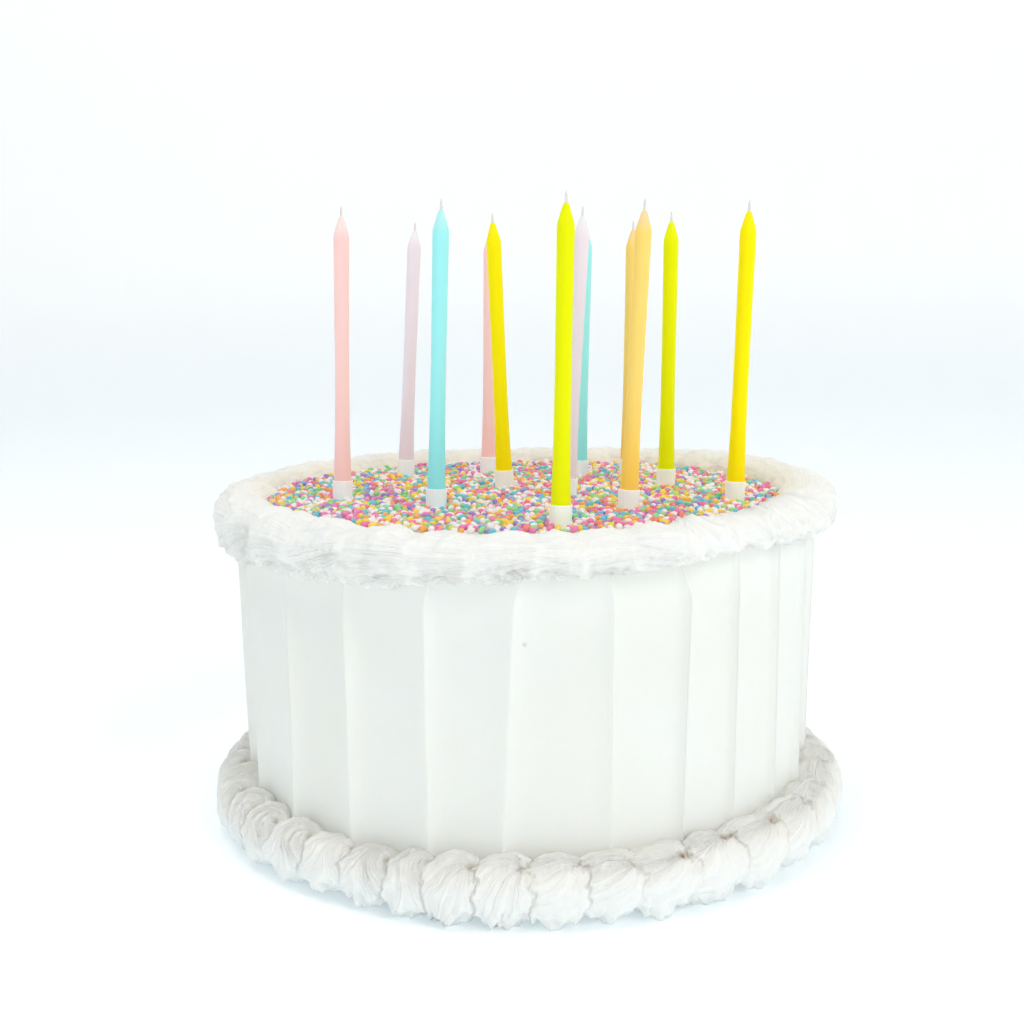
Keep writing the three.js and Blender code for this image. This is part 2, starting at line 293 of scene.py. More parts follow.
# %% [markdown]
# ## Combed icing
#
# Buttercream is almost white, and it is neither chalky nor glossy: light goes in a little way and
# comes out softened. A Principled shader with some subsurface light gives that. On the combed
# side, fine upright drag marks and a few burst air bubbles break up the surface. They could be
# painted on an image, but stretched noise has no seam and stays sharp from close by.

# %% Icing colours, and helpers for every material
ICING_WHITE = (0.93, 0.94, 0.9, 1)
# the borders are the same buttercream as the wall, painted brighter: painted light that lifts their
# shaded creases
PIPED_WHITE_PAINTED_BRIGHTER = (0.995, 0.99, 0.955, 1)
# the icing's own cream tone, which the borders also take as painted warm light
CREAM_TONE_AND_WARM_LIGHT = (0.87, 0.80, 0.66, 1)
# painted shade, cooler and greyer, low on the borders near the table
COOL_PAINTED_SHADE = (0.8, 0.87, 0.87, 1)
# painted shade for the hollows of burst bubbles
BUBBLE_SHADE_GREY = (0.5, 0.55, 0.52, 1)
# painted shade in the hollows of the shells' pits
PIT_SHADE_AMBER = (0.42, 0.21, 0.06, 1)
ICING_SHARED = {
    "Subsurface Weight": 0.2,
    "Subsurface Radius": (1.6, 1.3, 0.9),
    "Subsurface Scale": MM,
    "Specular IOR Level": 0.35,
}


def new_material(name):
    material = bpy.data.materials.new(name)
    material.use_nodes = True
    material.node_tree.nodes.clear()
    return material, Graph(material.node_tree)


def surface(graph, inputs):
    """A Principled shader wired to the material's output."""
    shader = graph.add("ShaderNodeBsdfPrincipled", {}, inputs)
    graph.add("ShaderNodeOutputMaterial", {}, {"Surface": shader})


def object_place(graph):
    return graph.add("ShaderNodeTexCoord", {}, {}, "Object")


def stretched(graph, place, scale):
    """The place with each axis scaled by its own number, for patterns that are longer one way."""
    return graph.vectors("MULTIPLY", place, scale)


def bump(graph, height, distance, strength):
    inputs = {"Height": height, "Distance": distance, "Strength": strength}
    return graph.add("ShaderNodeBump", {}, inputs)


print("icing lets light in to", ICING_SHARED["Subsurface Radius"], "mm of red, green and blue")

# %% The combed icing
UPRIGHT_DRAG = (1, 1, 0.06)
DRAG_SCALE = 900.0
WALL_CLOUD_SCALE = 28.0
WALL_CREAM = 0.22
BUBBLE_CELLS = 62.0  # to a metre, and only a few of them hold a burst bubble
BUBBLE_EDGE = (0.02, 0.06)
BUBBLE_CHANCE = (0.93, 0.94)
# how much painted shade a bubble's pit takes
BUBBLE_SHADE_SHARE = 0.4
WALL_RELIEF = {"drag": 0.12, "clouds": 0.5, "pit": 2.0}


def combed_icing():
    material, graph = new_material("combed_buttercream")
    place = object_place(graph)
    drag = graph.noise(stretched(graph, place, UPRIGHT_DRAG), DRAG_SCALE)
    clouds = graph.noise(place, WALL_CLOUD_SCALE)
    cells = {"Vector": place, "Scale": BUBBLE_CELLS}
    bubble = graph.add("ShaderNodeTexVoronoi", {}, cells, "Distance")
    cell_tint = graph.add("ShaderNodeTexVoronoi", {}, cells, "Color")
    chance = graph.add("ShaderNodeSeparateColor", {}, {0: cell_tint})
    pit = (1 - graph.ease(bubble, *BUBBLE_EDGE)) * graph.ease(chance, *BUBBLE_CHANCE)
    colour = graph.mix(graph.ease(clouds, -0.4, 1.0) * WALL_CREAM, ICING_WHITE, CREAM_TONE_AND_WARM_LIGHT)
    # Painted shade: the pits of burst bubbles are painted grey, as shade in their hollows.
    colour = graph.mix(pit * BUBBLE_SHADE_SHARE, colour, BUBBLE_SHADE_GREY)
    relief = drag * WALL_RELIEF["drag"] + clouds * WALL_RELIEF["clouds"] - pit * WALL_RELIEF["pit"]
    normal = bump(graph, relief, distance=0.25 * MM, strength=0.5)
    roughness = drag * 0.05 + 0.52
    surface(graph, {**ICING_SHARED, "Base Color": colour, "Roughness": roughness, "Normal": normal})
    return material


COMBED_ICING = combed_icing()
print("wall:", COMBED_ICING.name)

# %% [markdown]
# ## Piped icing
#
# Icing squeezed through a star tip keeps the tip's streaks. Noise in plain space would cut across
# them, so each point of a border carries the name of its strand, and noise read along that name
# draws streaks that follow the icing's own flow. Inside the ring, at its back and in the seams
# between shells, light bounces about and comes back creamier, so there the colour is painted
# creamier, painted warm light; so is the foot's crest, as if warm light fell on it from above. The
# grooves between fine streaks are painted a little creamier, a painted shade. Near the table the
# colour is painted cooler and greyer, a painted shade. The colour follows the place in all these
# cases.

# %% The piped icing
STREAKS = (6, 6, 0.9)  # how fast noise changes from strand to strand, twice, and along a strand
FINE_STREAKS = (13, 13, 1.1)
PIPED_CLOUD_SCALE = 45.0
TOP_BEGINS = (80 * MM, 90 * MM)  # heights between which the border of the top edge begins
INSIDE_ENDS = (80 * MM, 90 * MM)  # distances from the middle between which its inside ends
BACK_BEGINS = (-50 * MM, 40 * MM)
CREST_BEGINS, CREST_ENDS = (8 * MM, 16 * MM), (25 * MM, 30 * MM)  # heights on the foot's border
# heights over which the painted shade near the table fades out
PAINTED_SHADE_ENDS = (4 * MM, 15 * MM)
PAINTED_SHADE_SHARE = 0.35
# Shares of the cream colour: clouds are the icing's own tone; seam, inner and behind are painted
# warm bounce light, crest is painted warm light from above, and lines paints the grooves between
# fine streaks creamier and their crests whiter, a painted shade.
CREAM_AND_PAINTED_LIGHT_SHARES = {
    "seam": 0.12,
    "clouds": 0.1,
    "lines": -0.28,
    "inner": 0.5,
    "behind": 0.32,
    "crest": 0.2,
}
FOOT_SEAM_MELT = 0.3  # how much of its fine relief a seam loses at the foot; at the top it loses all
INNER_CALM = 0.6


def piped_icing():
    material, graph = new_material("piped_buttercream")
    place = object_place(graph)

    def carried(label, output="Fac"):
        return graph.add("ShaderNodeAttribute", {"attribute_name": label}, {}, output)

    strand, seam = carried("strand", "Vector"), carried("seam")
    strands = graph.noise(stretched(graph, strand, STREAKS), 1.0)
    lines = graph.noise(stretched(graph, strand, FINE_STREAKS), 1.0)
    clouds = graph.noise(place, PIPED_CLOUD_SCALE)
    x, y, z = (graph.add("ShaderNodeSeparateXYZ", {}, {0: place}, axis) for axis in "XYZ")
    high = graph.ease(z, *TOP_BEGINS)
    inner = (1 - graph.ease(graph.math("SQRT", x * x + y * y), *INSIDE_ENDS)) * high
    behind = graph.ease(y, *BACK_BEGINS) * high
    crest = graph.ease(z, *CREST_BEGINS) * (1 - graph.ease(z, *CREST_ENDS))
    causes = {"seam": seam, "clouds": clouds, "lines": lines}
    causes |= {"inner": inner, "behind": behind, "crest": crest}
    # Painted light and shade, with the icing's own cream tone: see the shares above.
    cream_and_painted_light = sum(wire * CREAM_AND_PAINTED_LIGHT_SHARES[cause] for cause, wire in causes.items())
    colour = graph.mix(cream_and_painted_light, PIPED_WHITE_PAINTED_BRIGHTER, CREAM_TONE_AND_WARM_LIGHT)
    # Painted shade: low on both borders the colour is painted cooler and greyer, as shade near the
    # table.
    colour = graph.mix((1 - graph.ease(z, *PAINTED_SHADE_ENDS)) * PAINTED_SHADE_SHARE, colour, COOL_PAINTED_SHADE)
    # Painted shade: the shells' pits are painted amber, as shade in their hollows.
    colour = graph.mix(carried("stain"), colour, PIT_SHADE_AMBER)
    melted = seam * (high * (1 - FOOT_SEAM_MELT) + FOOT_SEAM_MELT)
    fine = (strands + lines) * (1 - inner * INNER_CALM) * (1 - melted)
    normal = bump(graph, fine * 0.9, distance=0.4 * MM, strength=0.75)
    roughness = lines * 0.06 + 0.5
    surface(graph, {**ICING_SHARED, "Base Color": colour, "Roughness": roughness, "Normal": normal})
    return material


PIPED_ICING = piped_icing()
print("borders:", PIPED_ICING.name)

# %% [markdown]
# ## The fluted side
#
# A cook draws a scraper up the side of the cake, over and over. Every stroke leaves a panel that
# drops steeply off the ridge on its left and curls slowly out to the next one. Round to the right
# the strokes are shallower and end in a sharper lip, and near the top some ridges bend over.
#
# The wall could be sculpted, but a rule is truer to the tool. The base mesh is an unrolled grid:
# each point knows the ridges on its two sides and its share of the way between them. The tree
# rolls the grid up, sinks it by the rule, and adds the small waver of a hand.

# %% Ridges round the cake
FRONT_RIDGES = [
    # (turn at the top, turn at the foot, degrees that the top end hooks over)
    (-65, -64, 0.0),
    (-47, -48.5, 0.4),
    (-32.5, -33, 0.5),
    (-17, -17.5, 1.2),
    (-1.5, -5, 1.4),
    (14.5, 14, -0.7),
    (29, 27.5, -2.4),
    (39.5, 39.5, -0.3),
    (51, 53, 0.0),
]
BACK_PANELS = 16
RIDGE_WANDER = 1.1
RIDGE_SEED = 11


def all_ridges():
    """(turn at the top, turn at the foot, hook) of every ridge, once round the cake."""
    wander = wanderer(RIDGE_SEED)
    front_tops = [top for top, _, _ in FRONT_RIDGES]
    tops = fill_ring(front_tops, BACK_PANELS - 1, RIDGE_WANDER, wander)
    back = [(top, top + RIDGE_WANDER * next(wander)) for top in tops[len(FRONT_RIDGES) :]]
    return FRONT_RIDGES + [(top, foot, RIDGE_WANDER * next(wander)) for top, foot in back]


RIDGES = all_ridges()
print(len(RIDGES), "ridges")

# %% The unrolled grid of the cake's skin
PANEL_SHARES = [0, 0.012, 0.028, 0.045, 0.065, 0.09, 0.12, 0.16, 0.21, 0.28, 0.37, 0.46, 0.56]
PANEL_SHARES += [0.65, 0.73, 0.8, 0.86, 0.91, 0.95, 0.98]
WALL_ROWS = 40
TOP_INSETS = [0.01, 0.03, 0.07, 0.13, 0.22, 0.34, 0.48, 0.64, 0.82]
UNDER_INSETS = [0.7, 0.35, 0.1]


def skin_mesh():
    """Rows of points from under the cake, up its side and over its top, closed at both ends."""
    rows = [(0.0, inset) for inset in UNDER_INSETS]
    rows += [(row / WALL_ROWS, 0.0) for row in range(WALL_ROWS + 1)]
    rows += [(1.0, inset) for inset in TOP_INSETS]
    first_again = tuple(turn + 360 for turn in RIDGES[0][:2]) + RIDGES[0][2:]
    pairs = list(zip(RIDGES, RIDGES[1:] + [first_again]))
    columns = [(here, after, share) for here, after in pairs for share in PANEL_SHARES]
    count = len(columns)
    points = [(0.0, 0.0, height) for height, _ in rows for _ in columns]
    numbers = [(*column, inset) for _, inset in rows for column in columns]
    points += [(0.0, 0.0, 0.0), (0.0, 0.0, 1.0)]
    numbers += [(RIDGES[0], RIDGES[1], 0.0, 1.0)] * 2
    faces = []
    for row in range(len(rows) - 1):
        for column in range(count):
            after, low, high = (column + 1) % count, row * count, (row + 1) * count
            faces.append((low + column, low + after, high + after, high + column))
    bottom, last = len(rows) * count, (len(rows) - 1) * count
    for column in range(count):
        after = (column + 1) % count
        faces += [(bottom, after, column), (bottom + 1, last + column, last + after)]
    carried = {"share": [n[2] for n in numbers], "inset": [n[3] for n in numbers]}
    for index, end in enumerate(("top", "foot", "hook")):
        carried[f"here_{end}"] = [n[0][index] for n in numbers]
        carried[f"next_{end}"] = [n[1][index] for n in numbers]
    return mesh_of("skin", points, faces, **carried)


SKIN = skin_mesh()
print("skin:", len(SKIN.vertices), "points")

# %% Roll it up and comb it
FLUTES = {
    "Top radius": SIDE_RADIUS_TOP,
    "Foot radius": SIDE_RADIUS_FOOT,
    "Height": CAKE_TOP,
    "Flute depth": 3.0 * MM,
    "Drop share": 0.085,
    "Curl power": 3.2,
    "Right lip": 20.0,
    "Right fill": 0.3,
    "Waver": 0.4 * MM,
    "Top unevenness": 0.5 * MM,
    "Icing": COMBED_ICING,
}
HOOK_BEGINS = (0.79, 0.92)  # shares of the height between which a ridge's top end bends over
RIGHT_BEGINS = (0.1, 0.55)  # sines of the turns between which the right side begins
STROKE_SLANT = 0.35
WAVER_SCALE = 4.5
UNEVENNESS_SCALE = 45.0


def comb(graph, shape, given):
    """The rule of the combed wall: where each point of the unrolled grid goes."""
    position = graph.add("GeometryNodeInputPosition")
    height = graph.add("ShaderNodeSeparateXYZ", {}, {0: position}, "Z")
    bend = graph.ease(height, *HOOK_BEGINS)

    def ridge(side):
        foot, top = stored(graph, f"{side}_foot"), stored(graph, f"{side}_top")
        return foot + (top - foot) * height + stored(graph, f"{side}_hook") * bend * bend

    share, inset = stored(graph, "share"), stored(graph, "inset")
    here = ridge("here")
    turn = (here + (ridge("next") - here) * share) * math.radians(1)
    across, out = graph.math("SINE", turn), graph.math("COSINE", turn)
    right = graph.ease(across, *RIGHT_BEGINS)
    dropped = 1 - graph.math("EXPONENT", -share / given["Drop share"])
    curled = share ** (given["Curl power"] + given["Right lip"] * right)
    sunk = given["Flute depth"] * (1 - given["Right fill"] * right) * dropped * (1 - curled)
    strokes = graph.vector(across, out, height * STROKE_SLANT)
    waver = graph.noise(strokes, WAVER_SCALE) * given["Waver"]
    wall = given["Foot radius"] + (given["Top radius"] - given["Foot radius"]) * height
    radius = (wall - sunk + waver) * (1 - inset)
    flat = graph.vector(across * radius, out * radius, 0.0)
    on_top = graph.ease(inset, 0.0, 0.03) * graph.ease(height, 0.9, 1.0)
    rise = graph.noise(flat, UNEVENNESS_SCALE) * given["Top unevenness"] * on_top
    place = graph.vector(across * radius, -(out * radius), height * given["Height"] + rise)
    return finished(graph, moved(graph, shape, position=place), given["Icing"])


cake = grow("cake_icing", SKIN, FLUTES, comb)
stands_for(cake, "icing", "cake_body")

# %% [markdown]
# ## One rope of shells
#
# A cook pipes a border as a row of shells: let the icing swell, drag it along the edge, stop, and
# start again on top of the tail. The shells melt together, so the border is one rope that swells
# and narrows. It is unrolled like the wall: every point of the base mesh knows its angle round
# the rope's section, its share of the way from one shell's middle to the next, and what those
# two shells are like.
#
# The star tip leaves ridges that run from a shell's head to its tail, and both ends sit low. On a
# ball those ridges are the circles in which planes through both ends cut it, so the angle of such
# a plane is the name of a strand. Near the tail the strands wind round a little pit, where the
# icing tore off the tip.
#
# No two shells are alike, so each has traits: its size, how much longer it is on its outer, upper
# and lower side, how far it hangs down the wall, and which of a few ways its strands run. Where
# two shells meet, the fuller one shows and the seam melts over. A core under them all keeps the
# seams from cutting deep.
#
# The rule's inputs say how wide and tall the rope is (Out, Up), how much the underside tucks in
# towards a tail (Lean), how softly shells join (Melt) over how full a Core, how the ring lifts at
# the sides, back and right, and how its lower edge is ruffled (Hem) and wrinkled (Folds).

# %% The traits of a shell
END_STRAY = 0.12


def unit(vector):
    return np.asarray(vector, float) / np.linalg.norm(vector)


def shell_traits(kind, size, hang, seed, wander):
    """What the rope's points need to know of one shell."""
    tail, head = (
        unit([value + END_STRAY * next(wander) for value in kind[end]]) for end in ("tail", "head")
    )
    crown = unit(-(tail + head))
    traits = {"size": size, "hang": hang, "seed": seed}
    traits |= {label: np.array(kind[label]) for label in ("curl", "ridge", "spread", "stain")}
    traits |= {"drop": float(np.linalg.norm(tail + head)) / 2, "tail": tail, "crown": crown}
    return traits | {"cross": np.cross(unit(tail - head), crown)}


print("the ends of a shell stray by up to", END_STRAY, "of its radius")

# %% The unrolled rope
ROPE_COLUMNS = 1560
SEEN_SECTION = np.linspace(-95, 180, 54, endpoint=False)  # degrees round the rope, from outside
HIDDEN_SECTION = np.linspace(180, 265, 6, endpoint=False)  # coarser where the cake covers it
SHELL_STRAY = 0.9
SHELL_UNEVENNESS = 0.05
BACK_KINDS = 3  # shells out of sight take one of the first kinds


def rope_mesh(name, front_shells, back_count, seed, kinds):
    """The closed grid of a border, with its section angles and the traits of its shells."""
    wander = wanderer(seed)
    front_turns = [turn for turn, _, _, _ in front_shells]
    turns = fill_ring(front_turns, back_count, SHELL_STRAY, wander)
    count = len(turns)
    ends = np.array([*turns, turns[0] + 360])
    shells = []
    for i, turn in enumerate(turns):
        size, hang = 1 + SHELL_UNEVENNESS * next(wander), 1.0
        pick = int(BACK_KINDS * (0.5 + 0.5 * next(wander)))
        if i < len(front_shells):
            _, pick, size, hang = front_shells[i]
        shells.append(shell_traits(kinds[pick], size, hang, i, wander))
    sections = np.concatenate([SEEN_SECTION, HIDDEN_SECTION])
    columns = turns[0] + np.arange(ROPE_COLUMNS) * 360 / ROPE_COLUMNS
    here = np.searchsorted(ends, columns, side="right") - 1
    shares = (columns - ends[here]) / (ends[here + 1] - ends[here])
    rows = len(sections)
    carried = {"turn": np.repeat(columns, rows), "section": np.tile(sections, ROPE_COLUMNS)}
    carried["share"] = np.repeat(shares, rows)
    for side, indices in (("here", here), ("next", (here + 1) % count)):
        for label in shells[0]:
            values = np.array([traits[label] for traits in shells])[indices]
            carried[f"{side}_{label}"] = np.repeat(values, rows, axis=0)
    faces = []
    for column in range(ROPE_COLUMNS):
        low, high = column * rows, (column + 1) % ROPE_COLUMNS * rows
        for row in range(rows):
            after = (row + 1) % rows
            faces.append((low + row, high + row, high + after, low + after))
    points = np.zeros((ROPE_COLUMNS * rows, 3))
    return mesh_of(name, points, faces, **carried)


print("a rope has", ROPE_COLUMNS * (len(SEEN_SECTION) + len(HIDDEN_SECTION)), "points")

# %% One shell of the rope
SHELL_REACH = 0.58  # half a shell's length, as a share of the step to the next shell
SHELL_FULLNESS = 2.3  # 2 is an ellipse, more is boxier
THIN_SPREAD = 0.4
CURL_SPAN = 0.75
PIT_SPAN = 0.1
PIT_DEPTH = 0.2
STRAND_GRAIN = (5.0, 5.0, 0.9)
STRAND_SLIP = 0.4
INNER_SMOOTHING = 0.7


def section_ways(graph):
    """The angle round the rope's section, and how far its skin faces each way there."""
    angle = stored(graph, "section") * math.radians(1)
    out, up = graph.math("COSINE", angle), graph.math("SINE", angle)
    faces = {"outer": out, "upper": up, "lower": -up, "inner": -out}
    faces = {name: graph.math("MAXIMUM", way, 0.0) for name, way in faces.items()}
    return SimpleNamespace(angle=angle, out=out, up=up, **faces)


def shell(graph, given, ways, side, share):
    """How far out one shell reaches here, the strand on top, and how much painted shade its pit
    takes.
    """

    def trait(label, kind="FLOAT"):
        return stored(graph, f"{side}_{label}", kind)

    def toward(vector, label):
        return graph.vectors("DOT_PRODUCT", vector, trait(label, "FLOAT_VECTOR"))

    spread = toward(graph.vector(ways.outer, ways.upper, ways.lower), "spread") + 1.0
    along = share / (graph.math("MAXIMUM", spread, THIN_SPREAD) * SHELL_REACH)
    inside = graph.math("MINIMUM", graph.math("ABSOLUTE", along), 1.0)
    ahead = graph.math("MAXIMUM", graph.math("MINIMUM", along, 1.0), 0.0)
    lean = given["Lean"] * ways.lower * ahead
    cap = (1 - inside**SHELL_FULLNESS) ** (1 / SHELL_FULLNESS)
    ball = graph.vector(along, -(ways.out * cap), ways.up * cap)
    from_tail = graph.vectors("DISTANCE", ball, trait("tail", "FLOAT_VECTOR"))
    angle = graph.math("ARCTAN2", toward(ball, "cross"), toward(ball, "crown") + trait("drop"))
    angle = angle + trait("curl") * graph.math("EXPONENT", -((from_tail / CURL_SPAN) ** 2))
    depth = trait("seed") + from_tail * STRAND_SLIP
    strand = graph.vector(graph.math("COSINE", angle), graph.math("SINE", angle), depth)
    pit = graph.math("EXPONENT", -((from_tail / PIT_SPAN) ** 2))
    ridges = graph.noise(stretched(graph, strand, STRAND_GRAIN), 1.0, 1.5)
    ridges = ridges * trait("ridge") * (1 - ways.inner * INNER_SMOOTHING)
    relief = ridges - pit * PIT_DEPTH - lean
    return trait("size") * cap * (1 + relief), strand, pit * trait("stain")


print("a shell reaches", SHELL_REACH, "of a step each way, before it spreads")

# %% Where two shells meet
SEAM_MEANDER = 0.25
MEANDER_SCALE = 1.3
TURN_STRETCH = 6.0
OUTER_MELT, EVEN_MELT = 0.8, 0.5
CORE_MELT = 0.15
SEAM_BLEND = 0.03
SEAM_WIDTH = 0.2


def melted_shells(graph, given, ways, turn, out):
    """How far out the rope reaches, and the share, strand, painted pit shade and seam that show
    there.
    """
    share = stored(graph, "share")
    meander = graph.vector(ways.angle, turn * TURN_STRETCH, 0.0)
    meander = graph.noise(meander, MEANDER_SCALE) * SEAM_MEANDER
    share = share + meander * share * (1 - share) * 4.0
    here, here_strand, here_pit_shade = shell(graph, given, ways, "here", share)
    after, after_strand, after_pit_shade = shell(graph, given, ways, "next", share - 1.0)
    melt = given["Melt"] * (ways.outer * OUTER_MELT + EVEN_MELT + (1 - out) * given["Back melt"])
    fill = graph.math("SMOOTH_MAX", here, after, melt)
    fill = graph.math("SMOOTH_MAX", fill, given["Core"], CORE_MELT)
    over = graph.ease(after - here, -SEAM_BLEND, SEAM_BLEND)
    blend = {"Factor": over, "A": here_strand, "B": after_strand}
    strand = graph.add("ShaderNodeMix", {"data_type": "VECTOR"}, blend)
    stain = here_pit_shade * (1 - over) + after_pit_shade * over
    seam = 1 - graph.ease(graph.math("ABSOLUTE", after - here), 0.0, SEAM_WIDTH)
    return fill, share, strand, stain, seam


print("a seam wanders by up to", SEAM_MEANDER, "of a step")

# %% The piping rule
RUFFLE_GRAIN = (1, 1, 0.25)  # four times as tall as it is long
FOLD_GRAIN = (1, 1, 3)  # three times as long as it is tall
FOLD_SCALE = 170.0


def pipe(graph, shape, given):
    """The rule of a border: where each point of the unrolled rope goes."""
    ways = section_ways(graph)
    turn = stored(graph, "turn") * math.radians(1)
    across, out = graph.math("SINE", turn), graph.math("COSINE", turn)
    fill, share, strand, stain, seam = melted_shells(graph, given, ways, turn, out)
    lift = given["Side lift"] * across * across + given["Back lift"] * (1 - out) * 0.5
    lift = lift + given["Right lift"] * graph.math("MAXIMUM", across, 0.0)
    hang = stored(graph, "here_hang") * (1 - share) + stored(graph, "next_hang") * share
    tall = (ways.upper - ways.lower * hang) * given["Up"]

    def place(reach):
        radius = given["Ring radius"] + ways.out * given["Out"] * reach
        height = given["Ring height"] + lift + tall * reach
        height = graph.math("MAXIMUM", height, given["Floor"])
        return graph.vector(across * radius, -(out * radius), height)

    smooth = place(fill)
    swell = graph.noise(smooth, given["Swell scale"], 3.0) * given["Swell"]
    hem = 1 - graph.ease(ways.up, given["Hem low"], given["Hem high"])
    ruffle = graph.noise(stretched(graph, smooth, RUFFLE_GRAIN), given["Hem scale"], 1.5)
    folds = graph.noise(stretched(graph, smooth, FOLD_GRAIN), FOLD_SCALE)
    frill = (ruffle * given["Hem"] + folds * given["Folds"]) * hem
    piped = moved(graph, shape, position=place(fill + swell + frill))
    piped = noted(graph, piped, "strand", strand, "FLOAT_VECTOR")
    piped = noted(graph, noted(graph, piped, "stain", stain), "seam", seam)
    return finished(graph, piped, given["Icing"])


print("a border is one rope of melted shells")

# %% [markdown]
# ## The border round the top edge
#
# Broad shells lap over the edge of the cake. At the left they sag down the wall and their strands
# sweep sideways. At the right they are smaller, hardly hang at all, and their strands stand
# upright. Each could be sculpted, but they are one gesture done over and over, so a table of six
# kinds and a row for each shell in front say it all. The ring also rises towards the back.

# %% Kinds and places of the shells round the top edge
TOP_SPREAD = (0.5, 0.05, 0.5)  # a shell is longer on its outer, upper and lower side by this
# how much painted shade the pits of the top border take
TOP_PIT_SHADE = 0.12
TOP_KINDS = [
    {"tail": (0.66, -0.5, -0.56), "head": (-0.86, -0.3, -0.4), "curl": 1.0, "ridge": 0.15},
    {"tail": (0.6, -0.5, -0.62), "head": (-0.9, -0.1, -0.43), "curl": 1.8, "ridge": 0.14},
    {"tail": (0.7, -0.55, -0.45), "head": (-0.9, -0.2, -0.4), "curl": 2.2, "ridge": 0.15},
    {"tail": (0.6, -0.35, -0.72), "head": (-0.6, -0.2, 0.1), "curl": 0.3, "ridge": 0.2},
    {"tail": (0.3, -0.05, -0.95), "head": (-0.25, 0.45, 0.86), "curl": 0.0, "ridge": 0.36},
    {"tail": (0.45, -0.1, -0.88), "head": (-0.35, 0.4, 0.85), "curl": 0.4, "ridge": 0.34},
]
TOP_FRONT = [
    # (turn, kind, size, hang)
    (-90, 2, 1.02, 1.25),
    (-79, 0, 1.0, 1.4),
    (-68, 1, 1.03, 1.5),
    (-57, 2, 1.08, 1.35),
    (-46, 0, 1.12, 1.15),
    (-36, 2, 1.09, 1.2),
    (-23, 0, 1.06, 1.12),
    (-14.5, 1, 1.02, 0.98),
    (-2.5, 2, 1.02, 0.88),
    (5.2, 3, 0.96, 0.75),
    (12.9, 0, 0.97, 0.75),
    (21, 3, 0.99, 0.72),
    (30, 4, 1.0, 0.62),
    (39.5, 5, 0.86, 0.55),
    (48, 4, 0.9, 0.75),
    (58, 5, 0.96, 0.95),
    (68.5, 1, 1.0, 1.0),
    (79, 0, 1.0, 1.0),
    (90, 1, 1.0, 1.0),
]
print(len(TOP_KINDS), "kinds, and", len(TOP_FRONT), "shells in front")

# %% The border round the top edge
TOP_BACK_COUNT, TOP_SEED = 16, 12
TOP_BORDER = {
    "Ring radius": 88.9 * MM,
    "Ring height": 97.0 * MM,
    "Out": 8.7 * MM,
    "Up": 6.9 * MM,
    "Lean": 0.0,
    "Melt": 0.7,
    "Back melt": 0.8,
    "Core": 0.85,
    "Side lift": 0.8 * MM,
    "Back lift": 3.4 * MM,
    "Right lift": 2.0 * MM,
    "Swell scale": 150.0,
    "Swell": 0.24,
    "Hem": 0.26,
    "Hem low": -0.9,
    "Hem high": 0.0,
    "Hem scale": 260.0,
    "Folds": 0.4,
    "Floor": 0.0,
    "Icing": PIPED_ICING,
}
top_kinds = [{**kind, "spread": TOP_SPREAD, "stain": TOP_PIT_SHADE} for kind in TOP_KINDS]
top_rope = rope_mesh("top_rope", TOP_FRONT, TOP_BACK_COUNT, TOP_SEED, top_kinds)
top_shells = grow("top_shells", top_rope, TOP_BORDER, pipe)
stands_for(top_shells, "piped_icing", "top_border")

# %% [markdown]
# ## The border round the foot
#
# Fuller shells hide the line where the cake stands on its table. At the left they roll into close
# curls, and at the front and right each ends in a leaning tail with a small pit, painted amber as
# shade in its hollow. A second sculpture would double the work. The same rule with other numbers
# makes a different border.

# %% Kinds and places of the shells round the foot
FOOT_KINDS = [
    {"tail": (0.66, -0.2, 0.72), "head": (-0.8, 0.35, -0.5), "curl": 3.4, "ridge": 0.13},
    {"tail": (0.6, -0.25, 0.76), "head": (-0.8, 0.3, -0.5), "curl": 4.2, "ridge": 0.13},
    {"tail": (0.68, -0.1, 0.73), "head": (-0.85, 0.4, -0.3), "curl": 2.8, "ridge": 0.14},
    {"tail": (0.46, -0.35, 0.8), "head": (-0.5, -0.1, -0.8), "curl": 0.9, "ridge": 0.15},
    {"tail": (0.43, -0.42, 0.78), "head": (-0.8, -0.3, 0.4), "curl": 0.5, "ridge": 0.18},
    {"tail": (0.45, -0.35, 0.8), "head": (-0.85, -0.2, 0.4), "curl": 0.9, "ridge": 0.18},
]
FOOT_SPREADS = [(0.35, 0.05, 0.0)] * 3 + [(0.65, 0.3, -0.2), (0.7, 0.4, -0.6), (0.7, 0.35, -0.55)]
# how much painted shade the pits of each kind take
FOOT_PIT_SHADES = [0.4, 0.4, 0.5, 0.7, 1.0, 1.0]
FOOT_FRONT = [
    # (turn, kind, size, hang)
    (-53.5, 1, 0.96, 1.0),
    (-44.5, 0, 0.95, 0.92),
    (-35.5, 2, 0.9, 0.88),
    (-26.5, 1, 0.9, 0.9),
    (-19, 0, 0.97, 1.0),
    (-12, 3, 1.04, 1.0),
    (-3.8, 3, 1.04, 1.0),
    (4.7, 5, 1.03, 1.0),
    (13, 4, 1.02, 1.05),
    (22, 4, 1.02, 1.05),
    (31.5, 5, 1.02, 1.05),
    (41.5, 4, 1.03, 1.0),
    (52, 4, 1.04, 0.95),
    (62, 5, 1.04, 0.9),
    (72.5, 4, 1.06, 0.85),
    (83, 5, 1.08, 0.85),
]
print(len(FOOT_KINDS), "kinds, and", len(FOOT_FRONT), "shells in front")

